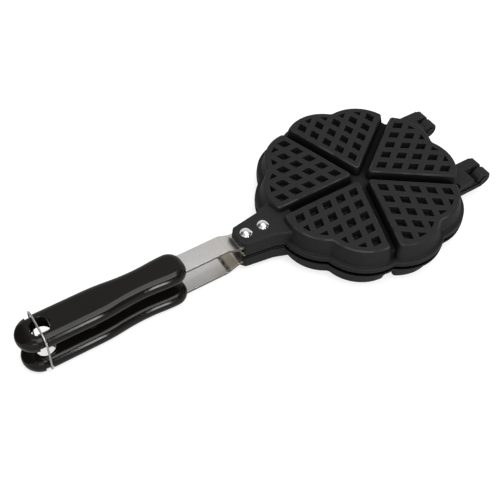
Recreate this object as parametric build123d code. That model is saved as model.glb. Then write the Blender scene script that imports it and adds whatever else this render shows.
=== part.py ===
from build123d import *
import os
from math import asin, atan2, cos, degrees, radians, sin, sqrt, tan

os.makedirs("parts", exist_ok=True)

# Driving sizes in millimetres. The two halves meet in the plane z = 0 while they are modelled,
# with the centre of the plates at x = 0, the handle towards -x and the hinge towards +x.

# Plates: five hearts, each with its point at the centre and two lobes at the rim
heart_count = 5
half_height = 17.8
lobe_angle = 18.5
lobe_centre = 44.4
lobe_radius = 30.9
groove_half = 4.0
groove_depth = 8.0
wall = 3.2
mating_gap = 0.3

# Body draft: the outline grows by this much from the top face down to the flange
body_spread = 3.3
corner_round = 2.0
cleft_round = 5.0
top_bevel = 0.8

# Flange round the mating plane
flange_spread = 6.0
flange_height = 4.6
flange_bevel = 0.8
flange_draft = 0.35

# Hollow for the batter, measured as an offset of the heart's top outline
hollow_inset = 2.7
hollow_spread = 2.0
hollow_corner_round = 3.2

# Waffle lattice: pockets outside, studs inside
lattice_start = 20.0
lattice_pitch = 12.0
lattice_rows = 5
pocket_side = 7.3
pocket_floor_side = 5.4
pocket_depth = 5.5
pocket_margin = 4.3
pocket_wall_slope = 0.2
stud_root_side = 9.0
stud_tip_side = 6.4
stud_tip_height = 5.2

# Lug that takes the handle strap
lug_top = 13.3
lug_foot = 1.3
lug_end = 111.6
lug_corner = 108.0
lug_end_half = 4.8
lug_corner_half = 9.3
lug_waist = 86.0
lug_waist_half = 12.6
lug_root = 70.0
lug_root_half = 18.5
lug_overlap = 6.0
lug_draft = 0.5
lug_round = 1.6
channel_start = 77.5
channel_clearance = 0.15

# Hinge: on each half two arms end in barrels round a pin in the mating plane
hinge_x = 92.0
barrel_radius = 6.8
barrel_inner_y = 22.2
barrel_outer_y = 42.0
barrel_width = 8.8
barrel_chamfer = 0.8
arm_foot = 0.3
arm_start = 66.0
short_shelf = 79.5
long_shelf = 84.6
pin_radius = 1.9
pin_clearance = 0.05
pin_head_radius = 3.6
pin_head = 0.8

# Straps
strap_width = 15.6
strap_thickness = 2.0
strap_face = 8.8
strap_start = 79.0
strap_bend_in = 113.0
strap_bend_out = 122.4
strap_bend_round = 2.0
strap_end = 236.0
tang_width = 12.0
tang_start = 164.0

# Rivets
rivet_front = 102.8
rivet_rear = 88.2
rivet_head_radius = 4.7
rivet_head = 2.3
rivet_shank = 2.5
rivet_tail_radius = 4.0
rivet_tail = 1.5

# Grips
grip_level = 11.9
grip_half_thickness = 5.9
grip_front = 154.6
grip_back = 277.0
nose_round = 10.5
grip_edge_flat = 0.4
bulb_x = 165.5
bulb_half = 12.4
waist_x = 190.0
waist_half = 11.1
palm_x = 226.0
palm_half = 13.3
slot_clearance = 0.1
hole_x = 259.8
hole_radius = 7.0
hole_bevel = 0.6

# Groove for the bail, running round each grip
bail_groove_x = 263.0
bail_groove_width = 5.4
bail_groove_depth = 1.2

# Screw and threaded insert that hold each strap in its grip
screw_x = 226.0
screw_radius = 2.0
screw_head_radius = 3.6
screw_head = 2.0
screw_sink = 2.6
screw_recess = 1.1
recess_width = 0.9
recess_length = 3.6
insert_radius = 3.2
insert_length = 3.2

# Wire bail that holds the two grips together
wire_radius = 0.85
bail_pivot_x = 262.0
bail_lean = 0.5
bail_top = 19.75
bail_half = 15.2
bail_corner = 7.0
bail_foot_corner = 1.9
bail_foot_end = 8.9
bail_hole_clearance = 0.05
bail_sweep_radius = 30.3


def direction(angle):
    return Vector(cos(radians(angle)), sin(radians(angle)))


half_sector = 180.0 / heart_count
strap_level = strap_face - strap_thickness / 2
body_foot = flange_height - 0.4
hollow_top = half_height - wall
groove_floor = half_height - groove_depth
bail_pivot_z = -grip_level


def polygon_frustum(low, low_z, high, high_z):
    """Flat-sided solid between two polygons with the same number of corners."""
    low = [Vector(point.X, point.Y, low_z) for point in low]
    high = [Vector(point.X, point.Y, high_z) for point in high]
    rings = [low[::-1], high]
    for k in range(len(low)):
        rings.append([low[k - 1], low[k], high[k], high[k - 1]])
    return Solid(Shell([Face(Wire.make_polygon(ring, close=True)) for ring in rings]))


def grown(corners, amount):
    """Anticlockwise polygon with each side moved outwards."""
    result = []
    for k in range(len(corners)):
        before = (corners[k] - corners[k - 1]).normalized()
        after = (corners[(k + 1) % len(corners)] - corners[k]).normalized()
        normals = [Vector(side.Y, -side.X) for side in (before, after)]
        result.append(corners[k] + (normals[0] + normals[1]) * (amount / (1 + normals[0].dot(normals[1]))))
    return result


def lobe_cones(low_spread, low_z, high_spread, high_z, angles):
    """Drafted round lobes standing at the given angles."""
    cones = []
    for angle in angles:
        place = direction(angle) * lobe_centre
        cone = Cone(
            lobe_radius + low_spread,
            lobe_radius + high_spread,
            high_z - low_z,
            align=(Align.CENTER, Align.CENTER, Align.MIN),
        )
        cones.append(Pos(place.X, place.Y, low_z) * cone)
    return cones


def wedge_corners(spread):
    """Triangle between the two grooves beside a heart, reaching well past the rim."""
    point = Vector((groove_half - spread) / sin(radians(half_sector)), 0)
    far = 2 * lobe_centre
    return [point, point + direction(-half_sector) * far, point + direction(half_sector) * far]


def sharp_heart(low_spread, low_z, high_spread, high_z):
    """Drafted heart pointing at the centre; its outline grows by the spreads."""
    wedge = polygon_frustum(wedge_corners(low_spread), low_z, wedge_corners(high_spread), high_z)
    middle = lobe_centre * cos(radians(lobe_angle))
    inner = Pos(0, 0, low_z) * Box(
        middle, 2 * lobe_centre, high_z - low_z, align=(Align.MIN, Align.CENTER, Align.MIN)
    )
    lobes = lobe_cones(low_spread, low_z, high_spread, high_z, (-lobe_angle, lobe_angle))
    return (inner + lobes) & wedge


def heart(low_spread, low_z, high_spread, high_z, corner_round, cleft_round):
    """Drafted heart with rounded corners; the radii are those of its outline where the spread is 0."""
    height = high_z - low_z
    side = direction(half_sector)
    outwards = Vector(-side.Y, side.X)
    lobe = direction(lobe_angle) * lobe_centre
    point = Vector((groove_half + corner_round) / sin(radians(half_sector)), 0)
    to_point = point - lobe
    along = side.dot(to_point)
    reach = sqrt(along**2 - to_point.dot(to_point) + (lobe_radius - corner_round) ** 2) - along
    corner = point + side * reach
    cleft = Vector(lobe.X + sqrt((lobe_radius + cleft_round) ** 2 - lobe.Y**2), 0)

    def core_corners(spread):
        rounded = outwards * (corner_round + spread)
        half = [point + rounded, corner + rounded, corner, lobe]
        return [point] + half + [Vector(v.X, -v.Y) for v in reversed(half)]

    def standing_cone(place, radius, sign=1, start=0, sweep=360):
        at_axis = (Align.NONE, Align.NONE, Align.MIN)
        low_radius, high_radius = radius + sign * low_spread, radius + sign * high_spread
        cone = Cone(low_radius, high_radius, height, arc_size=sweep, align=at_axis)
        return Pos(place.X, place.Y, low_z) * Rot(0, 0, start) * cone

    core = polygon_frustum(core_corners(low_spread), low_z, core_corners(high_spread), high_z)
    bridge = make_face(Polyline((lobe.X, lobe.Y), (cleft.X, 0), (lobe.X, -lobe.Y), close=True))
    bridge = extrude(Pos(0, 0, low_z) * bridge, height) - standing_cone(cleft, cleft_round, -1)
    to_corner, to_cleft = corner - lobe, cleft - lobe
    sweep_start = degrees(atan2(to_cleft.Y, to_cleft.X))
    sweep = degrees(atan2(to_corner.Y, to_corner.X)) - sweep_start
    half = standing_cone(corner, corner_round)
    half += standing_cone(lobe, lobe_radius, start=sweep_start, sweep=sweep)
    return core + [bridge, standing_cone(point, corner_round), half, mirror(half, Plane.XZ)]


def rhombus(side):
    """Rhombus whose sides run along the two straight sides of a heart."""
    along = direction(half_sector) * (side / 2)
    across = direction(-half_sector) * (side / 2)
    return [along + across, along - across, -along - across, across - along]


def lattice_points():
    """Centres of the waffle cells of one heart, with a flag for those cut off by the rim."""
    points = []
    for i in range(lattice_rows + 1):
        for j in range(lattice_rows + 1 - i):
            at_rim = i + j == lattice_rows
            if at_rim and min(i, j) == 0:
                continue
            place = direction(half_sector) * (i * lattice_pitch) + direction(-half_sector) * (j * lattice_pitch)
            points.append((lattice_start + place.X, place.Y, at_rim))
    return points


def heart_body():
    """Outside of one heart with its waffle pockets."""
    body = heart(body_spread, body_foot, 0, half_height, corner_round, cleft_round)
    top = body.faces().sort_by(Axis.Z)[-1]
    body = chamfer(top.edges(), top_bevel)
    floor_z = half_height - pocket_depth
    pocket = polygon_frustum(rhombus(pocket_floor_side), floor_z, rhombus(pocket_side), half_height)
    floor_margin = pocket_margin + pocket_depth * pocket_wall_slope
    zone = sharp_heart(-floor_margin, floor_z, -pocket_margin, half_height)
    cuts = []
    for x, y, at_rim in lattice_points():
        cell = Pos(x, y, 0) * pocket
        cuts.append(cell & zone if at_rim else cell)
    return body - cuts


def heart_hollow():
    """Space for the batter in one heart, less the studs that stand in it."""
    low_z = 0.0
    hollow = heart(hollow_spread, low_z, -hollow_inset, hollow_top, hollow_corner_round, cleft_round)
    stud = polygon_frustum(rhombus(stud_tip_side), stud_tip_height, rhombus(stud_root_side), hollow_top)
    return hollow - [Pos(x, y, 0) * stud for x, y, at_rim in lattice_points()]


def around(shape):
    """Copies of a shape, one for each heart."""
    return [Rot(0, 0, k * 2 * half_sector) * shape for k in range(heart_count)]


def flange():
    """Rim that closes on the other half, bevelled along the parting line."""
    land = mating_gap / 2
    mid = land + flange_bevel
    angles = [2 * half_sector * k + side * lobe_angle for k in range(heart_count) for side in (-1, 1)]
    low = lobe_cones(flange_spread - flange_bevel, land, flange_spread, mid, angles)
    high = lobe_cones(flange_spread, mid, flange_spread - flange_draft, flange_height, angles)
    centre = Pos(0, 0, land) * Cylinder(
        lobe_centre, flange_height - land, align=(Align.CENTER, Align.CENTER, Align.MIN)
    )
    return centre + low + high


def groove_web():
    """Floor of the grooves between the hearts."""
    reach = lobe_centre + lobe_radius - 6
    return Pos(0, 0, flange_height - 1) * Cone(
        reach + 2, reach, groove_floor - flange_height + 1, align=(Align.CENTER, Align.CENTER, Align.MIN)
    )


def handle_lug():
    """Drafted lug that narrows towards the strap, with chamfered end corners."""
    half = [
        (-lug_end, lug_end_half),
        (-lug_corner, lug_corner_half),
        (-lug_waist, lug_waist_half),
        (-lug_root, lug_root_half),
        (-lug_root + lug_overlap, lug_root_half),
    ]
    plan = [Vector(x, -y) for x, y in half] + [Vector(x, y) for x, y in reversed(half)]
    lug = polygon_frustum(grown(plan, lug_draft), lug_foot, plan, lug_top)
    top = lug.faces().sort_by(Axis.Z)[-1]
    return fillet([edge for edge in top.edges() if edge.center().X < -lug_root - 1], lug_round)


def strap_channel():
    """Space under the lug in which the strap lies."""
    width = strap_width + 2 * channel_clearance
    length = lug_end + 5 - channel_start
    return Pos(-channel_start, 0, 0) * Box(
        length, width, strap_face, align=(Align.MAX, Align.CENTER, Align.MIN)
    )


def along_y(shape_radius, length, x, y, z):
    """Cylinder along Y that starts at y."""
    cylinder = Cylinder(shape_radius, length, align=(Align.CENTER, Align.CENTER, Align.MIN))
    return Pos(x, y, z) * Rot(-90, 0, 0) * cylinder


def hinge_arm(y_low):
    """Arm with its barrel, starting at y_low."""
    arm = Pos(arm_start, y_low, arm_foot) * Box(
        hinge_x - arm_start, barrel_width, barrel_radius - arm_foot, align=(Align.MIN, Align.MIN, Align.MIN)
    )
    barrel = along_y(barrel_radius, barrel_width, hinge_x, y_low, 0)
    barrel = chamfer(barrel.edges().filter_by(GeomType.CIRCLE), barrel_chamfer)
    return arm + barrel


def hinge_shelf(y_low, end_x):
    """Shelf that joins an arm to the flange."""
    return Pos(arm_start, y_low, arm_foot) * Box(
        end_x - arm_start,
        barrel_outer_y - barrel_inner_y,
        barrel_radius - arm_foot,
        align=(Align.MIN, Align.MIN, Align.MIN),
    )


def hinge_side():
    far_arm = barrel_outer_y - barrel_width
    near_arm = -barrel_inner_y - barrel_width
    side = hinge_arm(far_arm) + hinge_arm(near_arm)
    side += hinge_shelf(barrel_inner_y, long_shelf)
    side += hinge_shelf(-barrel_outer_y, short_shelf)
    for y_low in (far_arm, near_arm):
        side -= along_y(pin_radius + pin_clearance, barrel_width + 2, hinge_x, y_low - 1, 0)
    return side


def rivet_places():
    return [("front", -rivet_front), ("rear", -rivet_rear)]


def upper_plate():
    """Upper casting: hearts, flange, handle lug and hinge arms in one piece."""
    plate = flange() + groove_web() + handle_lug() + hinge_side() + around(heart_body())
    plate -= strap_channel()
    plate -= around(heart_hollow())
    for name, x in rivet_places():
        plate -= Pos(x, 0, lug_top) * Cylinder(rivet_shank + pin_clearance, 2 * lug_top)
    return plate


def strap():
    """Flat bar that runs from inside the lug into the grip, with a joggle between."""
    slope = atan2(grip_level - strap_level, strap_bend_out - strap_bend_in)
    half = strap_thickness / 2
    mitre = half * tan(slope / 2)
    bends = [(-strap_bend_in, strap_level), (-strap_bend_out, grip_level)]
    upper = [(x + mitre, z + half) for x, z in bends]
    lower = [(x - mitre, z - half) for x, z in bends]
    outline = [(-strap_start, strap_level + half)] + upper + [(-strap_end, grip_level + half)]
    outline += [(-strap_end, grip_level - half)] + lower[::-1] + [(-strap_start, strap_level - half)]
    side = Plane.XZ * make_face(Polyline(outline, close=True))
    bar = extrude(side, strap_width / 2, both=True)
    for (x, z), radius in zip(upper + lower, inner_and_outer()):
        edges = [e for e in bar.edges().filter_by(Axis.Y) if (e.center() - Vector(x, 0, z)).length < 0.2]
        bar = fillet(edges, radius)
    for side_sign in (-1, 1):
        y = side_sign * (tang_width / 2 + strap_width)
        bar -= Pos(-tang_start, y, grip_level) * Box(
            strap_end, 2 * strap_width, strap_width, align=(Align.MAX, Align.CENTER, Align.CENTER)
        )
    for name, x in rivet_places():
        bar -= Pos(x, 0, strap_level) * Cylinder(rivet_shank + pin_clearance, 2 * strap_thickness)
    bar -= Pos(-screw_x, 0, grip_level) * Cylinder(screw_radius + slot_clearance, 2 * strap_thickness)
    return bar


def inner_and_outer():
    """Bend radii of the strap in the order of its upper and then its lower corners."""
    outer = strap_bend_round + strap_thickness
    return [strap_bend_round, outer, outer, strap_bend_round]


def rivet(x):
    """Domed rivet with its tail flattened against the strap."""
    ball = (rivet_head_radius**2 + rivet_head**2) / (2 * rivet_head)
    dome = Pos(x, 0, lug_top + rivet_head - ball) * Sphere(ball)
    dome &= Pos(x, 0, lug_top) * Cylinder(ball, ball, align=(Align.CENTER, Align.CENTER, Align.MIN))
    under = strap_face - strap_thickness
    down = (Align.CENTER, Align.CENTER, Align.MAX)
    shank = Pos(x, 0, lug_top) * Cylinder(rivet_shank, lug_top - under, align=down)
    tail = Pos(x, 0, under) * Cylinder(rivet_tail_radius, rivet_tail, align=down)
    return dome + shank + tail


def s_curve(start, end):
    """Two equal arcs that leave start and reach end along the grip."""
    middle = (start + end) / 2
    return [
        TangentArc(start, middle, tangent=(-1, 0)),
        TangentArc(end, middle, tangent=(1, 0)),
    ]


def grip_plan():
    """Outline of the grip seen from above."""
    front = Vector(-grip_front, bulb_half)
    bulb = Vector(-bulb_x, bulb_half)
    waist = Vector(-waist_x, waist_half)
    palm = Vector(-palm_x, palm_half)
    tail = Vector(-grip_back + palm_half, palm_half)
    side = [Line((front.X, 0), front), Line(front, bulb)]
    side += s_curve(bulb, waist) + s_curve(waist, palm)
    side += [Line(palm, tail), RadiusArc((-grip_back, 0), tail, palm_half)]
    half = Curve() + side
    face = make_face(half + mirror(half, Plane.XZ))
    noses = [corner for corner in face.vertices() if corner.X > -grip_front - 0.1 and abs(corner.Y) > 0.1]
    return fillet(noses, nose_round)


def grip_blank(shrink):
    """Grip without its holes, shrunk on all sides."""
    thickness = 2 * (grip_half_thickness - shrink)
    plan = offset(grip_plan(), -shrink) if shrink else grip_plan()
    blank = extrude(Pos(0, 0, grip_level - thickness / 2) * plan, thickness)
    rims = blank.faces().sort_by(Axis.Z)[0].edges() + blank.faces().sort_by(Axis.Z)[-1].edges()
    rim_wall = palm_half - hole_radius - hole_bevel
    edge_round = min(grip_half_thickness, rim_wall + grip_edge_flat / 2) - grip_edge_flat
    blank = fillet(rims, edge_round - shrink)
    # The end is relieved so that the bail swings past it
    for side in (-1, 1):
        z = grip_level + side * (grip_level - bail_pivot_z)
        blank &= along_y(bail_sweep_radius - shrink, 3 * palm_half, -bail_pivot_x, -1.5 * palm_half, z) + Pos(
            -bail_pivot_x, 0, grip_level
        ) * Box(grip_back, 3 * palm_half, 3 * palm_half, align=(Align.MIN, Align.CENTER, Align.CENTER))
    return blank


def slot_box(near_x, far_x, width):
    return Pos(-near_x, 0, grip_level) * Box(
        far_x - near_x,
        width + 2 * slot_clearance,
        strap_thickness + 2 * slot_clearance,
        align=(Align.MAX, Align.CENTER, Align.CENTER),
    )


def upper_grip():
    """Moulded grip with the slot for the strap, the hanging hole and the groove for the bail."""
    grip = grip_blank(0)
    grip -= Pos(-hole_x, 0, grip_level) * Cylinder(hole_radius, 4 * grip_half_thickness)
    rims = [edge for edge in grip.edges() if abs(edge.bounding_box().size.Y - 2 * hole_radius) < 0.1]
    grip = chamfer([rim for rim in rims if rim.bounding_box().size.Z < 0.1], hole_bevel)
    band = Pos(-bail_groove_x, 0, grip_level) * Box(bail_groove_width, 3 * palm_half, 3 * palm_half)
    grip -= band - grip_blank(bail_groove_depth)
    grip -= slot_box(grip_front - 1, tang_start + slot_clearance, strap_width)
    grip -= slot_box(tang_start, strap_end + slot_clearance, tang_width)
    up = (Align.CENTER, Align.CENTER, Align.MIN)
    under = grip_level - grip_half_thickness
    grip -= Pos(-screw_x, 0, under - 1) * Cylinder(screw_head_radius + slot_clearance, screw_sink + 1, align=up)
    grip -= Pos(-screw_x, 0, under) * Cylinder(screw_radius + slot_clearance, grip_half_thickness, align=up)
    grip -= Pos(-screw_x, 0, insert_foot()) * Cylinder(insert_radius, insert_length, align=up)
    return grip


def insert_foot():
    return grip_level + strap_thickness / 2 + slot_clearance


def grip_insert():
    """Brass insert moulded into the grip above the strap."""
    up = (Align.CENTER, Align.CENTER, Align.MIN)
    body = Pos(-screw_x, 0, insert_foot()) * Cylinder(insert_radius, insert_length, align=up)
    return body - Pos(-screw_x, 0, insert_foot()) * Cylinder(screw_radius, 3 * insert_length)


def grip_screw():
    """Pan head screw, sunk in the inner side of the grip, with a cross recess."""
    seat = grip_level - grip_half_thickness + screw_sink
    down = (Align.CENTER, Align.CENTER, Align.MAX)
    up = (Align.CENTER, Align.CENTER, Align.MIN)
    head = Pos(-screw_x, 0, seat) * Cylinder(screw_head_radius, screw_head, align=down)
    head = chamfer(head.edges().sort_by(Axis.Z)[0], screw_recess / 2)
    length = insert_foot() + insert_length - seat
    screw = head + Pos(-screw_x, 0, seat) * Cylinder(screw_radius, length, align=up)
    for turn in (0, 90):
        screw -= Pos(-screw_x, 0, seat - screw_head) * Rot(0, 0, turn) * Box(
            recess_length, recess_width, 2 * screw_recess
        )
    return screw


def hinge_pin(y_low):
    """Steel pin through a pair of barrels, with its ends spread into flat heads."""
    length = barrel_outer_y - barrel_inner_y
    pin = along_y(pin_radius, length, hinge_x, y_low, 0)
    pin += along_y(pin_head_radius, pin_head, hinge_x, y_low - pin_head, 0)
    pin += along_y(pin_head_radius, pin_head, hinge_x, y_low + length, 0)
    return pin


def locking_bail():
    """Wire loop that pivots in the lower grip and closes over the upper one."""
    foot_z = bail_pivot_z
    half_path = [
        (bail_foot_end, foot_z),
        (bail_half, foot_z),
        (bail_half, bail_top),
    ]
    path = Polyline(half_path + [(-y, z) for y, z in reversed(half_path)])
    feet = [v for v in path.vertices() if v.Y < foot_z + 1 and abs(v.X) > bail_half - 1]
    path = fillet(feet, bail_foot_corner)
    shoulders = [v for v in path.vertices() if v.Y > bail_top - 1]
    path = fillet(shoulders, bail_corner)
    wire = Plane.YZ * path
    start = Plane(wire @ 0, z_dir=wire % 0)
    bail = sweep(start * Circle(wire_radius), path=wire)
    lean = degrees(asin(bail_lean / (bail_top - foot_z)))
    return Pos(-bail_pivot_x, 0, foot_z) * Rot(0, lean, 0) * Pos(0, 0, -foot_z) * bail


def flipped(shape):
    """The same piece on the lower half, turned half a turn about the long axis."""
    return Rot(180, 0, 0) * shape


def lower_grip():
    """Same moulding as the upper grip, drilled at both sides for the feet of the bail."""
    grip = flipped(upper_grip())
    for y_low in (bail_foot_end - 0.3, -bail_foot_end + 0.3 - palm_half):
        grip -= along_y(wire_radius + bail_hole_clearance, palm_half, -bail_pivot_x, y_low, bail_pivot_z)
    return grip


upper_pieces = {"plate": upper_plate(), "strap": strap(), "grip_insert": grip_insert(), "grip_screw": grip_screw()}
for rivet_name, rivet_x in rivet_places():
    upper_pieces[rivet_name + "_rivet"] = rivet(rivet_x)

nodes = {}
for name, piece in upper_pieces.items():
    nodes["upper_" + name] = piece
    nodes["lower_" + name] = flipped(piece)
nodes["upper_grip"] = upper_grip()
nodes["lower_grip"] = lower_grip()
nodes["far_hinge_pin"] = hinge_pin(barrel_inner_y)
nodes["near_hinge_pin"] = hinge_pin(-barrel_outer_y)
nodes["locking_bail"] = locking_bail()

# The frame's origin is under the middle of the closed object, at the lowest face
middle_x = (hinge_x + barrel_radius - grip_back) / 2
for name, piece in nodes.items():
    export_step(Pos(-middle_x, 0, half_height) * piece, "parts/" + name + ".step")
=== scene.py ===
from math import cos, pi, radians, sin

import bpy
from mathutils import Matrix, Vector


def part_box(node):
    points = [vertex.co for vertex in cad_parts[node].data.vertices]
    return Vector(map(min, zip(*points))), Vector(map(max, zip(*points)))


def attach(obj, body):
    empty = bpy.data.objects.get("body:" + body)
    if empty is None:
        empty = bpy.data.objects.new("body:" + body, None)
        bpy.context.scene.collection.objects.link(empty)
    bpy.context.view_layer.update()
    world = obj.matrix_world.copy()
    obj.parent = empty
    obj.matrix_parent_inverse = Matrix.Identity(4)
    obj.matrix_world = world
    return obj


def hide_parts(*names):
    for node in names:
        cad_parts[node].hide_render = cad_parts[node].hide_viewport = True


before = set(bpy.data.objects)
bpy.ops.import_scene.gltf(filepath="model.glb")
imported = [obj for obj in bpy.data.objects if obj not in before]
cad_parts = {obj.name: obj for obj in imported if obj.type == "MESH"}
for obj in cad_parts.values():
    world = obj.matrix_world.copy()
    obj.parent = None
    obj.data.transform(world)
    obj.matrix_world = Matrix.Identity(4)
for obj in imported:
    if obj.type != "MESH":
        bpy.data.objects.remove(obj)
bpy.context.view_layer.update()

# Lengths are in metres, in the frame's own directions: the hinge towards +X, the far side +Y, up +Z.

# Camera, at the photograph's viewing angle
CAMERA_AIM = Vector((-0.0138, -0.0061, 0.0178))
CAMERA_DISTANCE = 0.5888
CAMERA_AZIMUTH = -34.98
CAMERA_ELEVATION = 50.82
CAMERA_ROLL = 2.73
CAMERA_LENS = 58.86
CAMERA_NEAR = 0.01
CAMERA_FAR = 20.0
SENSOR_WIDTH = 36.0

# Floor: white to the eye, greyer in reflections, and it sends less light up under the object
FLOOR_SIZE = 8.0
FLOOR_COLOUR = (0.5, 0.5, 0.5, 1)
FLOOR_BOUNCE = (0.25, 0.25, 0.25, 1)
FLOOR_ROUGHNESS = 0.9
FLOOR_SPECULAR = 0.1
FLOOR_GLOW = 0.66
FLOOR_MIRRORED = 0.36

# Studio walls: white to the eye. Reflections see them pale at the horizon and greyer above, with three dim places,
# and they give matte surfaces an even fill
WHITE = (1, 1, 1, 1)
HORIZON_LEVEL = 0.95
CEILING_LEVEL = 0.5
FILL_LEVEL = 0.45
DIM_LEVEL = 0.15

# Dim places: name, direction, then how far in degrees the dim core and its soft rim reach
DIM_PLACES = (
    ("left_corner", (-0.62, 0.59, 0.50), 14, 34),
    ("right_corner", (0.78, -0.34, 0.53), 12, 24),
    ("near_wall", (0.32, -0.88, 0.34), 20, 32),
)

# Soft boxes: name, centre, turn in degrees from facing down, width, height, level
SOFT_BOXES = (
    ("overhead_box", (0.02, -0.07, 1.0), (0, 0, 0), 0.52, 0.86, 3.8),
    ("overhead_strip", (0.02, -0.705, 1.0), (0, 0, 0), 0.52, 0.41, 4.8),
    ("near_side_box", (0.055, -1.1, 0.34), (90, 0, 0), 0.11, 0.64, 17.0),
    ("front_box", (-0.54, -0.775, 0.74), (52, 0, -35), 0.42, 0.34, 2.5),
)

# Coating of the castings: soft clouds and fine specks mottle its colour between a darkest and a lightest factor
COATING_COLOUR = (0.0095, 0.0095, 0.0098)
# Paler colour where the coating wears at edges, which also paints a highlight on the rounded rims
COATING_WORN_AND_HIGHLIT = (0.055, 0.055, 0.056, 1)
# Painted shade for the hollows, and painted shadow along the parting line
COATING_PAINTED_SHADE = (0.0022, 0.0021, 0.0020, 1)
COATING_DARKEST = 0.72
COATING_LIGHTEST = 1.5
COATING_CLOUDS = 0.6
COATING_SPECKS = 0.9
SPECK_LEVELS = (0.36, 0.64)
COATING_ROUGHNESS = (0.56, 0.68)
# Roughness where shade is painted
PAINTED_SHADE_ROUGHNESS = 1.0
COATING_SPECULAR = 0.2

# Steel of the straps
STEEL_COLOUR = (0.67, 0.66, 0.65, 1)
STEEL_DARK = (0.59, 0.58, 0.57, 1)
STEEL_TINTED = (0.64, 0.605, 0.56, 1)
# Painted warm reflection on the ramp towards the lug
STEEL_WARM_REFLECTION = (0.62, 0.56, 0.47, 1)
# Painted dark reflection at the outer bend
STEEL_DARK_REFLECTION = (0.10, 0.09, 0.08, 1)
STEEL_SHEARED = (0.20, 0.19, 0.18, 1)
STEEL_CORNER = (0.78, 0.77, 0.75, 1)
STEEL_ROUGHNESS = (0.26, 0.36)
SHEARED_ROUGHNESS = 0.55

# Moulding compound of the grips
GRIP_COLOUR = (0.0052, 0.0046, 0.0041, 1)
GRIP_SHADE = (0.0075, 0.0063, 0.0052, 1)
GRIP_ROUGHNESS = (0.08, 0.15)
GRIP_SPECULAR = 0.22

# Bright metals: colour, duller colour, roughness where the haze is thinnest
BRIGHT_METALS = {
    "steel_pin": ((0.022, 0.0215, 0.021, 1), (0.014, 0.0137, 0.0134, 1), 0.36),
    "plated_screw": ((0.07, 0.068, 0.066, 1), (0.045, 0.044, 0.042, 1), 0.28),
    "turned_brass": ((0.72, 0.53, 0.25, 1), (0.6, 0.43, 0.2, 1), 0.25),
    "bright_rivet": ((0.86, 0.86, 0.86, 1), (0.78, 0.78, 0.78, 1), 0.08),
    "bright_wire": ((0.56, 0.555, 0.545, 1), (0.42, 0.415, 0.405, 1), 0.24),
}
HAZE = 1.7

# The castings: five grooves part the hearts and meet at the plate's centre
PLATE_CENTRE = 0.0891
GROOVE_COUNT = 5
MATING_HEIGHT = 0.0178

# Painted shade in hollows: its strength in the pockets and in the grooves, and how far sideways a groove's walls
# stand
POCKET_PAINTED_SHADE = 0.40
GROOVE_PAINTED_SHADE = 0.80
GROOVE_WALLS = (0.0056, 0.0064)

# Rubbed rims with a painted highlight on their rounding, by their height off the plane where the halves meet
RIM_HEIGHTS = (0.0155, 0.0162)
RIM_RUBBING_AND_HIGHLIGHT = 0.65
FLANGE_EDGE_HEIGHTS = (0.0047, 0.0050)
FLANGE_RUBBING_AND_HIGHLIGHT = 0.6
RUBBED_AND_HIGHLIT_PATCHES = (0.46, 0.62)

# Painted shadow along the parting line
PARTING_HEIGHT = 0.0169
PARTING_HALF_WIDTH = 0.0015
PARTING_SOFTNESS = 0.25

# Heat tint, a painted warm reflection on the ramp and a painted dark reflection at the outer bend of the straps near
# the lugs, by their place along X
TINT_PLACE = (-0.055, -0.020)
WARM_REFLECTION_PLACE = (-0.0335, -0.0310)
DARK_REFLECTION_PLACE = -0.0322
DARK_REFLECTION_HALF_WIDTH = 0.0013
DARK_REFLECTION_SOFTNESS = 0.6
DARK_REFLECTION_THINNEST = 0.5
DARK_REFLECTION_PATCHES = (0.35, 0.6)

# Rivets, as they are on the lug: the head stands on its outer face, the tail is inside
RIVET_HEAD_HEIGHT = 0.0023
RIVET_HEAD_FULLNESS = 0.62
RIVET_SHANK_RADIUS = 0.0025
RIVET_TAIL_RADIUS = 0.0040
RIVET_TAIL_HEIGHT = 0.0015
RIVET_TAIL_ROUND = 0.0004
RIVET_SIDES = 48

# Wire bail: its feet turn inwards into the lower grip
WIRE_RADIUS = 0.00065
BAIL_FOOT_END = 0.0089
WIRE_SIDES = 16
WIRE_RING_SPACING = 0.0006
FOOT_CORNER = 0.0019
SHOULDER_CORNER = 0.0070

# Made meshes
ARC_STEPS = 10
MERGE_DISTANCE = 0.000005
CRISP_ANGLE = 35

# Rays that feel for an edge or a hollow
FEELER_RAYS = 8


def direction(azimuth, elevation):
    """Unit vector from the object towards an azimuth and elevation, counted as the camera's are."""
    a, e = radians(azimuth), radians(elevation)
    return Vector((sin(a) * cos(e), -cos(a) * cos(e), sin(e)))


def add_camera():
    """Camera that looks along the photograph's line of sight, with its slight roll."""
    camera = bpy.data.objects.new("camera", bpy.data.cameras.new("camera"))
    bpy.context.scene.collection.objects.link(camera)
    back = direction(CAMERA_AZIMUTH, CAMERA_ELEVATION)
    level = Vector((cos(radians(CAMERA_AZIMUTH)), sin(radians(CAMERA_AZIMUTH)), 0))
    upwards = back.cross(level)
    roll = radians(CAMERA_ROLL)
    right = level * cos(roll) + upwards * sin(roll)
    up = upwards * cos(roll) - level * sin(roll)
    turn = Matrix((right, up, back)).transposed().to_4x4()
    camera.matrix_world = Matrix.Translation(CAMERA_AIM + back * CAMERA_DISTANCE) @ turn
    camera.data.sensor_width = SENSOR_WIDTH
    camera.data.lens = CAMERA_LENS
    camera.data.clip_start = CAMERA_NEAR
    camera.data.clip_end = CAMERA_FAR
    bpy.context.scene.camera = camera


def add_soft_box(name, centre, turn, width, height, level):
    """Soft box of an even level, in a plane turned from facing down."""
    data = bpy.data.lights.new(name, "AREA")
    data.shape = "RECTANGLE"
    data.size = width
    data.size_y = height
    data.energy = level * pi * width * height
    lamp = bpy.data.objects.new(name, data)
    bpy.context.scene.collection.objects.link(lamp)
    lamp.location = centre
    lamp.rotation_euler = [radians(angle) for angle in turn]


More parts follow.
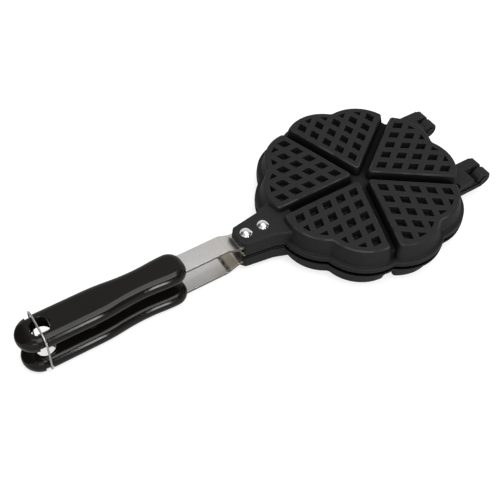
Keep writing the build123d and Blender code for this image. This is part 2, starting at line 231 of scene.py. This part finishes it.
# Node building, for shader trees and shape trees alike
def feed(tree, socket, value):
    """Links an input from a socket, or sets it to a plain value."""
    if isinstance(value, bpy.types.NodeSocket):
        tree.links.new(value, socket)
    else:
        socket.default_value = value


def add_node(tree, kind, settings=None, **inputs):
    """Adds a node and feeds its inputs, given by name, or by number as i0, i1 and so on."""
    family = "" if kind.startswith(("ShaderNode", "FunctionNode")) else tree.bl_idname.removesuffix("Tree")
    node = tree.nodes.new(family + kind)
    for name, value in (settings or {}).items():
        setattr(node, name, value)
    for name, value in inputs.items():
        numbered = name[0] == "i" and name[1:].isdigit()
        feed(tree, node.inputs[int(name[1:]) if numbered else name.replace("_", " ")], value)
    return node


def calculate(tree, operation, *values, clamp=False):
    """Result of one sum on one or more numbers."""
    inputs = {f"i{index}": value for index, value in enumerate(values)}
    return add_node(tree, "ShaderNodeMath", {"operation": operation, "use_clamp": clamp}, **inputs).outputs[0]


def multiply(tree, first, second):
    """Product of two masks, kept between 0 and 1."""
    return calculate(tree, "MULTIPLY", first, second, clamp=True)


def distance_from(tree, value, middle):
    """How far a value lies from the middle, to either side."""
    return calculate(tree, "ABSOLUTE", calculate(tree, "SUBTRACT", value, middle))


def span(tree, value, low, high, start=0.3, end=0.7):
    """Number that runs from low to high as the value runs from start to end."""
    return add_node(tree, "ShaderNodeMapRange", i0=value, i1=start, i2=end, i3=low, i4=high).outputs[0]


def vector_dot(tree, first, second, name="dot"):
    """Dot product of two vectors."""
    settings = {"operation": "DOT_PRODUCT", "name": name}
    return add_node(tree, "ShaderNodeVectorMath", settings, i0=first, i1=second).outputs["Value"]


# Effects that materials share, as shader groups
def new_group(name, inputs, outputs):
    """Empty shader group with named inputs, a vector where no number is given, and named outputs."""
    tree = bpy.data.node_groups.new(name, "ShaderNodeTree")
    for label, value in inputs.items():
        kind = "NodeSocketVector" if value is None else "NodeSocketFloat"
        socket = tree.interface.new_socket(name=label, in_out="INPUT", socket_type=kind)
        if value is not None:
            socket.default_value = value
    for label, kind in outputs.items():
        tree.interface.new_socket(name=label, in_out="OUTPUT", socket_type=kind)
    return tree, tree.nodes.new("NodeGroupInput").outputs, tree.nodes.new("NodeGroupOutput").inputs


def use_group(tree, group, **inputs):
    """Places a shared effect with its own values, and gives its outputs."""
    return add_node(tree, "ShaderNodeGroup", {"node_tree": group}, **inputs).outputs


def edge_wear_group():
    """Mask of the narrow strip along edges, broken up by noise, and a normal rounded over it."""
    tree, given, result = new_group(
        "edge_wear",
        {"Width": 0.0004, "Breakup": 900.0, "Strength": 1.0},
        {"Mask": "NodeSocketFloat", "Normal": "NodeSocketVector"},
    )
    soft = add_node(tree, "Bevel", {"samples": FEELER_RAYS}, Radius=given["Width"]).outputs[0]
    sharp = add_node(tree, "NewGeometry").outputs["Normal"]
    edge = span(tree, vector_dot(tree, soft, sharp), 0.0, 1.0, start=1.0, end=0.8)
    own = add_node(tree, "TexCoord").outputs["Object"]
    noise = add_node(tree, "TexNoise", Vector=own, Scale=given["Breakup"], Detail=3.0).outputs["Fac"]
    patchy = span(tree, noise, 0.35, 1.0, start=0.38, end=0.62)
    broken = calculate(tree, "MULTIPLY", edge, patchy)
    feed(tree, result["Mask"], multiply(tree, broken, given["Strength"]))
    feed(tree, result["Normal"], soft)
    return tree


def recess_group():
    """Mask of hollows and inner corners, where shade is painted."""
    tree, given, result = new_group(
        "recess", {"Reach": 0.008, "Open": 0.8, "Deep": 0.3}, {"Mask": "NodeSocketFloat"}
    )
    settings = {"samples": FEELER_RAYS, "only_local": True}
    openness = add_node(tree, "AmbientOcclusion", settings, Distance=given["Reach"]).outputs["AO"]
    feed(tree, result["Mask"], span(tree, openness, 0.0, 1.0, given["Open"], given["Deep"]))
    return tree


def facing_group():
    """Mask of the faces of a piece that look along one of its own axes, to either side."""
    tree, given, result = new_group("facing", {"Axis": None, "From": 0.6, "To": 0.8}, {"Mask": "NodeSocketFloat"})
    own = add_node(tree, "TexCoord").outputs["Normal"]
    along = calculate(tree, "ABSOLUTE", vector_dot(tree, own, given["Axis"]))
    feed(tree, result["Mask"], span(tree, along, 0.0, 1.0, given["From"], given["To"]))
    return tree


def grain_group():
    """Fine irregular grain, as a value round a half, with a coarser drift under it."""
    tree, given, result = new_group(
        "grain",
        {"Fine": 3000.0, "Coarse": 90.0, "Drift": 0.35},
        {"Grain": "NodeSocketFloat", "Drift": "NodeSocketFloat"},
    )
    own = add_node(tree, "TexCoord").outputs["Object"]
    fine = add_node(tree, "TexNoise", Vector=own, Scale=given["Fine"], Detail=2.0, Roughness=0.6)
    coarse = add_node(tree, "TexNoise", Vector=own, Scale=given["Coarse"], Detail=4.0, Roughness=0.55)
    away = calculate(tree, "SUBTRACT", coarse.outputs["Fac"], 0.5)
    feed(tree, result["Grain"], fine.outputs["Fac"])
    feed(tree, result["Drift"], calculate(tree, "MULTIPLY_ADD", away, given["Drift"], 0.5))
    return tree


def brushing_group():
    """Long fine streaks along X, as rolled strip and a moulding's flow have them."""
    tree, given, result = new_group("brushing", {"Pitch": 5000.0, "Length": 0.02}, {"Streak": "NodeSocketFloat"})
    own = add_node(tree, "TexCoord").outputs["Object"]
    squeeze = add_node(tree, "CombineXYZ", X=given["Length"], Y=1.0, Z=1.0).outputs[0]
    stretched = add_node(tree, "VectorMath", {"operation": "MULTIPLY"}, i0=own, i1=squeeze).outputs[0]
    streak = add_node(tree, "TexNoise", Vector=stretched, Scale=given["Pitch"], Detail=3.0, Roughness=0.65)
    feed(tree, result["Streak"], streak.outputs["Fac"])
    return tree


EDGE_WEAR = edge_wear_group()
GRAIN = grain_group()
BRUSHING = brushing_group()
RECESS_SHADE = recess_group()
FACING = facing_group()


# Parts of the materials
def new_material(name):
    """Material with its node tree and shader."""
    material = bpy.data.materials.new(name)
    material.use_nodes = True
    return material, material.node_tree, material.node_tree.nodes["Principled BSDF"]


def set_shader(tree, shader, **inputs):
    """Feeds the shader's inputs, given by name."""
    for name, value in inputs.items():
        feed(tree, shader.inputs[name.replace("_", " ")], value)


def blend(tree, factor, low, high):
    """Number that runs from low to high with a mask."""
    return add_node(tree, "Mix", Factor=factor, A=low, B=high).outputs[0]


def blend_colours(tree, factor, low, high):
    """Colour that runs from low to high with a mask."""
    node = add_node(tree, "Mix", {"data_type": "RGBA"}, Factor=factor)
    for name, colour in (("A", low), ("B", high)):
        feed(tree, next(s for s in node.inputs if s.name == name and s.type == "RGBA"), colour)
    return next(s for s in node.outputs if s.type == "RGBA")


def add_bump(tree, wear, height, strength, depth):
    """Fine relief, over a normal that is rounded along the edges."""
    return add_node(
        tree, "Bump", Strength=strength, Distance=depth, Height=height, Normal=wear["Normal"]
    ).outputs[0]


def own_axis(tree, letter, kind="Object"):
    """One part of a point's place on its piece, or of its face's direction when kind is Normal."""
    own = add_node(tree, "TexCoord").outputs[kind]
    return add_node(tree, "SeparateXYZ", Vector=own).outputs[letter]


def soft_line(tree, value, middle, half_width, softness):
    """Mask of a line round the middle, which fades by the softness to both sides of its edges."""
    edges = ((1 - softness) * half_width, (1 + softness) * half_width)
    return span(tree, distance_from(tree, value, middle), 1, 0, *edges)


def facing_up(tree, start, end):
    """Mask of the faces that look up or down."""
    return use_group(tree, FACING, Axis=(0, 0, 1), From=start, To=end)["Mask"]


def parting_residue(tree):
    """Mask of the painted shadow line on the flanges' edges where the two plates meet."""
    line = soft_line(tree, own_axis(tree, "Z"), PARTING_HEIGHT, PARTING_HALF_WIDTH, PARTING_SOFTNESS)
    return multiply(tree, line, calculate(tree, "SUBTRACT", 1.0, facing_up(tree, start=0.8, end=0.95)))


def off_grooves(tree):
    """Sideways distance from the nearest of the grooves that part the hearts; the first points at the lug."""
    out = calculate(tree, "SUBTRACT", PLATE_CENTRE, own_axis(tree, "X"))
    across = own_axis(tree, "Y")
    turn = calculate(tree, "PINGPONG", calculate(tree, "ARCTAN2", across, out), pi / GROOVE_COUNT)
    flat = add_node(tree, "CombineXYZ", X=out, Y=across).outputs[0]
    reach = add_node(tree, "VectorMath", {"operation": "LENGTH"}, i0=flat).outputs["Value"]
    return calculate(tree, "MULTIPLY", reach, calculate(tree, "SINE", turn))


def rim_rubbing(tree):
    """Patchy mask along the rounded rims of the hearts and flanges, where the coating wears first and a highlight is
    painted on the rounding.
    """
    height = distance_from(tree, own_axis(tree, "Z"), MATING_HEIGHT)
    rim = span(tree, height, 0, 1, *RIM_HEIGHTS)
    flange = span(tree, height, FLANGE_RUBBING_AND_HIGHLIGHT, 0, *FLANGE_EDGE_HEIGHTS)
    edges = calculate(tree, "MAXIMUM", rim, flange)
    rounded = facing_up(tree, start=0.45, end=0.7)
    curved = calculate(tree, "SUBTRACT", rounded, facing_up(tree, start=0.86, end=0.96), clamp=True)
    patches = use_group(tree, GRAIN, Coarse=70.0, Drift=1.0)["Drift"]
    return multiply(tree, multiply(tree, edges, curved), span(tree, patches, 0, RIM_RUBBING_AND_HIGHLIGHT, *RUBBED_AND_HIGHLIT_PATCHES))


def inner_side(tree):
    """Mask of the faces that look towards the plane where the two halves meet."""
    height = calculate(tree, "SUBTRACT", own_axis(tree, "Z"), MATING_HEIGHT)
    outward = calculate(tree, "MULTIPLY", height, own_axis(tree, "Z", "Normal"))
    return calculate(tree, "LESS_THAN", outward, 0.0)


def bend_grime(tree):
    """Mask of the painted dark reflection across each strap's outer bend, in patches."""
    line = soft_line(tree, own_axis(tree, "X"), DARK_REFLECTION_PLACE, DARK_REFLECTION_HALF_WIDTH, DARK_REFLECTION_SOFTNESS)
    patches = use_group(tree, GRAIN, Coarse=260.0, Drift=1.0)["Drift"]
    return multiply(tree, line, span(tree, patches, DARK_REFLECTION_THINNEST, 1.0, *DARK_REFLECTION_PATCHES))


# Finishes
def coated_casting():
    """Cast aluminium under a matte black non-stick coating, paler along its edges from wear and a painted highlight
    on the rims, with painted shade in its hollows and a painted shadow along the parting line.
    """
    material, tree, shader = new_material("coated_casting")
    wear = use_group(tree, EDGE_WEAR, Width=0.0008, Breakup=120.0, Strength=0.8)
    grain = use_group(tree, GRAIN, Fine=2600.0, Coarse=60.0, Drift=0.8)
    # Painted shade, stronger in the grooves than in the pockets, and deepest where the hollows close in
    shade_strength = span(tree, off_grooves(tree), GROOVE_PAINTED_SHADE, POCKET_PAINTED_SHADE, *GROOVE_WALLS)
    hollow_shade = multiply(tree, use_group(tree, RECESS_SHADE, Reach=0.016, Open=0.8, Deep=0.4)["Mask"], shade_strength)
    # All the painted shade: in the hollows, and the shadow line where the plates meet
    painted_shade = calculate(tree, "MAXIMUM", hollow_shade, parting_residue(tree))
    clouds = span(tree, grain["Drift"], 0, COATING_CLOUDS)
    specks = span(tree, use_group(tree, GRAIN, Fine=1400.0)["Grain"], 0, COATING_SPECKS, *SPECK_LEVELS)
    uneven = calculate(tree, "ADD", clouds, specks, clamp=True)
    darkest, lightest = (
        tuple(part * level for level in COATING_COLOUR) + (1,) for part in (COATING_DARKEST, COATING_LIGHTEST)
    )
    mottled = blend_colours(tree, uneven, darkest, lightest)
    # Edges and rims wear to the paler colour, a painted highlight on the rounded rims as well
    rubbed_and_highlit = calculate(tree, "MAXIMUM", wear["Mask"], rim_rubbing(tree))
    worn_and_highlit = blend_colours(tree, rubbed_and_highlit, mottled, COATING_WORN_AND_HIGHLIT)
    set_shader(
        tree,
        shader,
        Base_Color=blend_colours(tree, painted_shade, worn_and_highlit, COATING_PAINTED_SHADE),
        Roughness=blend(tree, painted_shade, span(tree, grain["Drift"], *COATING_ROUGHNESS), PAINTED_SHADE_ROUGHNESS),
        # The painted shade takes away gloss too, as a metal of the same black colour has none
        Metallic=painted_shade,
        Normal=add_bump(tree, wear, grain["Grain"], strength=0.16, depth=0.0002),
        Specular_IOR_Level=COATING_SPECULAR,
    )
    return material


def polished_strip():
    """Stainless strip: bright, faintly streaked, tinted near the heat, with duller sheared edges, a painted warm
    reflection on the ramp and a painted dark reflection at the outer bend.
    """
    material, tree, shader = new_material("polished_strip")
    wear = use_group(tree, EDGE_WEAR, Width=0.0002, Breakup=700.0, Strength=0.8)
    clouds = use_group(tree, GRAIN, Coarse=55.0, Drift=0.9)["Drift"]
    streak = use_group(tree, BRUSHING, Pitch=4200.0, Length=0.02)["Streak"]
    sheared = use_group(tree, FACING, Axis=(0, 1, 0), From=0.6, To=0.8)["Mask"]
    along, inner = own_axis(tree, "X"), inner_side(tree)
    cloudy = blend_colours(tree, span(tree, clouds, 0, 1), STEEL_DARK, STEEL_COLOUR)
    tinted = blend_colours(tree, span(tree, along, 0, 1, *TINT_PLACE), cloudy, STEEL_TINTED)
    # Painted warm reflection on the inner face of the ramp towards the lug
    warm_reflection = multiply(tree, inner, span(tree, along, 0, 1, *WARM_REFLECTION_PLACE))
    warm_reflection = blend_colours(tree, warm_reflection, tinted, STEEL_WARM_REFLECTION)
    # Painted dark reflection on the concave side of the outer bend
    darkened_at_bend = blend_colours(tree, multiply(tree, inner, bend_grime(tree)), warm_reflection, STEEL_DARK_REFLECTION)
    sides = blend_colours(tree, sheared, darkened_at_bend, STEEL_SHEARED)
    set_shader(
        tree,
        shader,
        Base_Color=blend_colours(tree, wear["Mask"], sides, STEEL_CORNER),
        Roughness=blend(tree, sheared, span(tree, streak, *STEEL_ROUGHNESS), SHEARED_ROUGHNESS),
        Metallic=1.0,
        Normal=add_bump(tree, wear, streak, strength=0.05, depth=0.0001),
    )
    return material


def moulded_black():
    """Glossy black thermoset moulding with faint warm flow marks along its length."""
    material, tree, shader = new_material("moulded_black")
    wear = use_group(tree, EDGE_WEAR, Width=0.0004)
    grain = use_group(tree, GRAIN, Fine=1400.0, Coarse=35.0, Drift=0.9)
    flow = use_group(tree, BRUSHING, Pitch=160.0, Length=0.12)["Streak"]
    set_shader(
        tree,
        shader,
        Base_Color=blend_colours(tree, span(tree, flow, 0, 1), GRIP_COLOUR, GRIP_SHADE),
        Roughness=span(tree, grain["Drift"], *GRIP_ROUGHNESS),
        Normal=add_bump(tree, wear, grain["Grain"], strength=0.02, depth=0.0001),
        Specular_IOR_Level=GRIP_SPECULAR,
    )
    return material


def bright_metal(name, colour, dull, roughness):
    """Plated or polished metal with a slight uneven haze."""
    material, tree, shader = new_material(name)
    wear = use_group(tree, EDGE_WEAR, Width=0.00025)
    haze = use_group(tree, GRAIN, Coarse=220.0, Drift=0.9)["Drift"]
    set_shader(
        tree,
        shader,
        Base_Color=blend_colours(tree, span(tree, haze, 0, 1), dull, colour),
        Roughness=span(tree, haze, roughness, HAZE * roughness),
        Metallic=1.0,
        Normal=wear["Normal"],
    )
    return material


def seen_rays(tree):
    """Two masks: camera rays, and rays that metal or glass has turned."""
    path = add_node(tree, "LightPath").outputs
    return path["Is Camera Ray"], calculate(tree, "MAXIMUM", path["Is Glossy Ray"], path["Is Transmission Ray"])


def floor_material():
    """Pale floor: white to the camera and grey in metal, and it takes the object's shadow."""
    material, tree, shader = new_material("pale_floor")
    camera, mirrored = seen_rays(tree)
    set_shader(
        tree,
        shader,
        Base_Color=blend_colours(tree, camera, FLOOR_BOUNCE, FLOOR_COLOUR),
        Roughness=FLOOR_ROUGHNESS,
        Specular_IOR_Level=FLOOR_SPECULAR,
        Emission_Color=WHITE,
        Emission_Strength=blend(tree, camera, calculate(tree, "MULTIPLY", mirrored, FLOOR_MIRRORED), FLOOR_GLOW),
    )
    return material


def add_floor():
    """Flat floor under the object, far wider than the view."""
    half = FLOOR_SIZE / 2
    mesh = bpy.data.meshes.new("floor")
    mesh.from_pydata([(-half, -half, 0), (half, -half, 0), (half, half, 0), (-half, half, 0)], [], [(0, 1, 2, 3)])
    floor = bpy.data.objects.new("floor", mesh)
    bpy.context.scene.collection.objects.link(floor)
    mesh.materials.append(floor_material())


def add_world():
    """White room for the camera; in reflections its ceiling, two corners and near wall are dimmer."""
    world = bpy.data.worlds.new("studio")
    bpy.context.scene.world = world
    world.use_nodes = True
    tree = world.node_tree
    way = add_node(tree, "TexCoord").outputs["Generated"]
    height = add_node(tree, "SeparateXYZ", Vector=way).outputs["Z"]
    level = span(tree, height, HORIZON_LEVEL, CEILING_LEVEL, start=0.0, end=1.0)
    for name, towards, core, rim in DIM_PLACES:
        near = vector_dot(tree, way, Vector(towards).normalized(), name)
        bright = add_node(
            tree,
            "MapRange",
            {"interpolation_type": "SMOOTHSTEP"},
            i0=near,
            i1=cos(radians(rim)),
            i2=cos(radians(core)),
            i3=1.0,
            i4=DIM_LEVEL,
        )
        level = calculate(tree, "MULTIPLY", level, bright.outputs[0])
    camera, mirrored = seen_rays(tree)
    background = tree.nodes["Background"].inputs
    feed(tree, background["Color"], WHITE)
    feed(tree, background["Strength"], blend(tree, camera, blend(tree, mirrored, FILL_LEVEL, level), 1.0))


# Shapes made by Geometry Nodes
SOCKETS = {
    float: "NodeSocketFloat",
    int: "NodeSocketInt",
    Vector: "NodeSocketVector",
    bpy.types.Material: "NodeSocketMaterial",
}


def new_shape(name, kinds):
    """Empty shape tree with named inputs, and its input and output sockets."""
    tree = bpy.data.node_groups.new(name, "GeometryNodeTree")
    for label, kind in kinds.items():
        tree.interface.new_socket(name=label, in_out="INPUT", socket_type=SOCKETS[kind])
    tree.interface.new_socket(name="Shape", in_out="OUTPUT", socket_type="NodeSocketGeometry")
    return tree, tree.nodes.new("NodeGroupInput").outputs, tree.nodes.new("NodeGroupOutput").inputs["Shape"]


def end_shape(tree, geometry, finish, shape):
    """Ends a shape tree: instances become real and the shape takes its finish."""
    real = add_node(tree, "RealizeInstances", Geometry=geometry).outputs[0]
    feed(tree, shape, add_node(tree, "SetMaterial", Geometry=real, Material=finish).outputs[0])
    return tree


def bake_shape(name, tree, sizes):
    """The tree's shape at the given sizes, as a plain mesh with crisp corners."""
    maker = bpy.data.objects.new(name + "_maker", bpy.data.meshes.new(name + "_maker"))
    bpy.context.scene.collection.objects.link(maker)
    modifier = maker.modifiers.new("shape", "NODES")
    modifier.node_group = tree
    for socket in tree.interface.items_tree:
        if socket.in_out == "INPUT":
            modifier[socket.identifier] = sizes[socket.name]
    shaped = maker.evaluated_get(bpy.context.evaluated_depsgraph_get())
    mesh = bpy.data.meshes.new_from_object(shaped)
    mesh.name = name
    maker.modifiers.remove(modifier)
    bpy.data.objects.remove(maker)
    mesh.shade_smooth()
    mesh.set_sharp_from_angle(angle=radians(CRISP_ANGLE))
    piece = bpy.data.objects.new(name, mesh)
    bpy.context.scene.collection.objects.link(piece)
    return piece


def minus(tree, value):
    """The value with its sign turned."""
    return calculate(tree, "MULTIPLY", value, -1.0)


def plus(tree, first, second):
    """The sum of two values."""
    return calculate(tree, "ADD", first, second)


def place(tree, x=0.0, y=0.0, z=0.0):
    """A point, from values or sockets."""
    return add_node(tree, "ShaderNodeCombineXYZ", X=x, Y=y, Z=z).outputs[0]


def rivet_tree():
    """Rivets in a row: half of the outline is spun, then set on each point."""
    tree, size, shape = new_shape(
        "rivet_row",
        {
            "Head Radius": float,
            "Head Height": float,
            "Head Fullness": float,
            "Shank Radius": float,
            "Shank Length": float,
            "Tail Radius": float,
            "Tail Height": float,
            "Tail Round": float,
            "Sides": int,
            "Count": int,
            "First": Vector,
            "Step": Vector,
            "Turn": Vector,
            "Finish": bpy.types.Material,
        },
    )
    # The outline runs from the top of the head down to the middle of the tail, with Y downwards
    head, shank, tail, seat = size["Head Radius"], size["Shank Radius"], size["Tail Radius"], size["Shank Length"]
    top = minus(tree, size["Head Height"])
    full = calculate(tree, "MULTIPLY", head, size["Head Fullness"])
    foot = plus(tree, seat, size["Tail Height"])
    bend = plus(tree, foot, minus(tree, size["Tail Round"]))
    flat = plus(tree, tail, minus(tree, size["Tail Round"]))
    runs = [
        (place(tree, 0.0, top), place(tree, full, top), place(tree, head)),
        (place(tree, head), place(tree, shank)),
        (place(tree, shank), place(tree, shank, seat)),
        (place(tree, shank, seat), place(tree, tail, seat)),
        (place(tree, tail, seat), place(tree, tail, bend)),
        (place(tree, tail, bend), place(tree, tail, foot), place(tree, flat, foot)),
        (place(tree, flat, foot), place(tree, 0.0, foot)),
    ]
    outline = add_node(tree, "JoinGeometry")
    for start, *middle, end in reversed(runs):
        if middle:
            arc = {"Resolution": ARC_STEPS, "Start": start, "Middle": middle[0], "End": end}
            line = add_node(tree, "CurveQuadraticBezier", **arc)
        else:
            line = add_node(tree, "CurvePrimitiveLine", Start=start, End=end)
        feed(tree, outline.inputs[0], line.outputs[0])
    ring = add_node(tree, "CurvePrimitiveCircle", Resolution=size["Sides"], Radius=head)
    inward = add_node(tree, "Transform", Geometry=outline.outputs[0], Translation=place(tree, minus(tree, head)))
    spun = add_node(tree, "CurveToMesh", Curve=ring.outputs[0], Profile_Curve=inward.outputs[0])
    closed = add_node(tree, "MergeByDistance", Geometry=spun.outputs[0], Distance=MERGE_DISTANCE)
    row = add_node(tree, "MeshLine", Count=size["Count"], Start_Location=size["First"], Offset=size["Step"])
    turn = add_node(tree, "FunctionNodeEulerToRotation", Euler=size["Turn"])
    rivets = add_node(
        tree, "InstanceOnPoints", Points=row.outputs[0], Instance=closed.outputs[0], Rotation=turn.outputs[0]
    )
    return end_shape(tree, rivets.outputs[0], size["Finish"], shape)


def wire_tree():
    """Bent wire: a loop with turned-in feet, its corners rounded, with a round section swept along it."""
    tree, size, shape = new_shape(
        "bent_wire",
        {
            "Pivot": Vector,
            "Foot End": float,
            "Half Width": float,
            "Height": float,
            "Lean": float,
            "Foot Corner": float,
            "Shoulder Corner": float,
            "Wire Radius": float,
            "Sides": int,
            "Ring Spacing": float,
            "Finish": bpy.types.Material,
        },
    )
    half, end, top, lean = size["Half Width"], size["Foot End"], size["Height"], size["Lean"]
    corners = [
        place(tree, 0.0, end),
        place(tree, 0.0, half),
        place(tree, lean, half, top),
        place(tree, lean, minus(tree, half), top),
        place(tree, 0.0, minus(tree, half)),
        place(tree, 0.0, minus(tree, end)),
    ]
    number = add_node(tree, "InputIndex").outputs[0]
    spot = add_node(tree, "IndexSwitch", {"data_type": "VECTOR"}, Index=number)
    # The switch has two places when it is new
    for _ in corners[2:]:
        spot.index_switch_items.new()
    for index, corner in enumerate(corners):
        feed(tree, spot.inputs[str(index)], corner)
    points = add_node(tree, "MeshLine", Count=len(corners))
    string = add_node(tree, "MeshToCurve", Mesh=points.outputs[0])
    bent = add_node(tree, "SetPosition", Geometry=string.outputs[0], Position=spot.outputs[0])
    # The two corners in the middle are the shoulders, and the others belong to the feet
    shoulder = calculate(tree, "LESS_THAN", distance_from(tree, number, (len(corners) - 1) / 2), 1.0)
    bend = span(tree, shoulder, size["Foot Corner"], size["Shoulder Corner"], start=0.0, end=1.0)
    rounded = add_node(tree, "FilletCurve", {"mode": "POLY"}, Curve=bent.outputs[0], Count=ARC_STEPS, Radius=bend)
    even = add_node(tree, "ResampleCurve", {"mode": "LENGTH"}, Curve=rounded.outputs[0], Length=size["Ring Spacing"])
    seated = add_node(tree, "Transform", Geometry=even.outputs[0], Translation=size["Pivot"])
    section = add_node(tree, "CurvePrimitiveCircle", Resolution=size["Sides"], Radius=size["Wire Radius"])
    wire = add_node(tree, "CurveToMesh", Curve=seated.outputs[0], Profile_Curve=section.outputs[0], Fill_Caps=True)
    return end_shape(tree, wire.outputs[0], size["Finish"], shape)


def middle_of(node):
    """Middle, lowest and highest corner of a CAD node."""
    low, high = (Vector(corner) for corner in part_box(node))
    return (low + high) / 2, low, high


def add_rivets(finish):
    """One row of two rivets for each half, at the places of its CAD rivets."""
    tree = rivet_tree()
    for half, turn, head_up in (("upper", 0.0, 1), ("lower", pi, -1)):
        front, low, high = middle_of(half + "_front_rivet")
        rear = middle_of(half + "_rear_rivet")[0]
        length = high.z - low.z - RIVET_HEAD_HEIGHT - RIVET_TAIL_HEIGHT
        seat = (high.z if head_up > 0 else low.z) - head_up * RIVET_HEAD_HEIGHT
        row = bake_shape(
            half + "_rivets",
            tree,
            {
                "Head Radius": (high.x - low.x) / 2,
                "Head Height": RIVET_HEAD_HEIGHT,
                "Head Fullness": RIVET_HEAD_FULLNESS,
                "Shank Radius": RIVET_SHANK_RADIUS,
                "Shank Length": length,
                "Tail Radius": RIVET_TAIL_RADIUS,
                "Tail Height": RIVET_TAIL_HEIGHT,
                "Tail Round": RIVET_TAIL_ROUND,
                "Sides": RIVET_SIDES,
                "Count": 2,
                "First": (front.x, front.y, seat),
                "Step": rear - front,
                "Turn": (turn, 0.0, 0.0),
                "Finish": finish,
            },
        )
        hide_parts(half + "_front_rivet", half + "_rear_rivet")
        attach(row, half + "_half")


def add_bail(finish):
    """The wire bail, over the loop that the CAD bail has."""
    middle, low, high = middle_of("locking_bail")
    thin = WIRE_RADIUS
    bail = bake_shape(
        "wire_bail",
        wire_tree(),
        {
            "Pivot": (low.x + thin, middle.y, low.z + thin),
            "Foot End": BAIL_FOOT_END,
            "Half Width": (high.y - low.y) / 2 - thin,
            "Height": high.z - low.z - 2 * thin,
            "Lean": high.x - low.x - 2 * thin,
            "Foot Corner": FOOT_CORNER,
            "Shoulder Corner": SHOULDER_CORNER,
            "Wire Radius": thin,
            "Sides": WIRE_SIDES,
            "Ring Spacing": WIRE_RING_SPACING,
            "Finish": finish,
        },
    )
    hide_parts("locking_bail")
    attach(bail, "bail")


def finish_nodes():
    """Gives each CAD node its finish, by the last word of its name, and adds the made pieces."""
    casting, strip, grip = coated_casting(), polished_strip(), moulded_black()
    metals = {name: bright_metal(name, *look) for name, look in BRIGHT_METALS.items()}
    finishes = {
        "plate": casting,
        "strap": strip,
        "grip": grip,
        "rivet": metals["bright_rivet"],
        "bail": metals["bright_wire"],
        "pin": metals["steel_pin"],
        "screw": metals["plated_screw"],
        "insert": metals["turned_brass"],
    }
    for name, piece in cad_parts.items():
        piece.data.materials.clear()
        piece.data.materials.append(finishes[name.split("_")[-1]])
    add_rivets(finishes["rivet"])
    add_bail(finishes["bail"])


bpy.context.scene.view_settings.view_transform = "Standard"
add_camera()
finish_nodes()
add_floor()
add_world()
for soft_box in SOFT_BOXES:
    add_soft_box(*soft_box)
